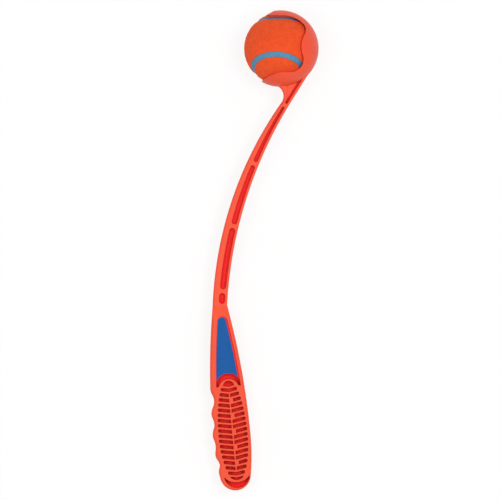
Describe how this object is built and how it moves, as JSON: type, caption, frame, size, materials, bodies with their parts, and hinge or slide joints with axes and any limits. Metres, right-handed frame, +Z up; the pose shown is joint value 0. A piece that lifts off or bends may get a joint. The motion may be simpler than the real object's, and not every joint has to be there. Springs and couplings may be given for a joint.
{
  "type": "dog ball launcher stick",
  "caption": "Curved hand-held launcher stick with a finger-grooved, ribbed grip and a snap cup that holds a felt tennis ball for throwing to a dog.",
  "frame": {"origin": "on the table under the middle of the resting stick's box", "axes": "+X towards the back of the cup, +Y along the stick from grip to ball, +Z up from the table"},
  "size_m": [0.103, 0.4554, 0.067],
  "materials": {
    "moulded_plastic": "satin moulded polypropylene, orange-red",
    "label_film": "glossy printed film, left plain blue",
    "ball_felt": "orange tennis-ball felt",
    "seam_rubber": "matt blue seam rubber",
    "core_rubber": "dark grey rubber"
  },
  "bodies": {
    "launcher": {"grip_handle": "moulded_plastic", "throwing_shaft": "moulded_plastic", "cup_neck": "moulded_plastic", "ball_cup": "moulded_plastic", "grip_label": "label_film"},
    "tongue": {"cup_tongue": "moulded_plastic"},
    "ball": {"ball_core_upper": "core_rubber", "ball_core_lower": "core_rubber", "felt_panel_front": "ball_felt", "felt_panel_back": "ball_felt", "ball_seam": "seam_rubber"}
  },
  "joints": [
    {"name": "tongue_flex", "type": "hinge", "parent": "launcher", "child": "tongue", "pos_m": [0.03911, 0.21872, 0.03501], "axis": [0, 0.0553, -0.9985], "range_deg": [0, 18], "stiffness_Nm_per_rad": 3},
    {"name": "ball_release", "type": "slide", "parent": "launcher", "child": "ball", "axis": [-0.9063, 0.422, 0.0234], "range_m": [0, 0.08], "deforming": ["cup_tongue"]}
  ]
}
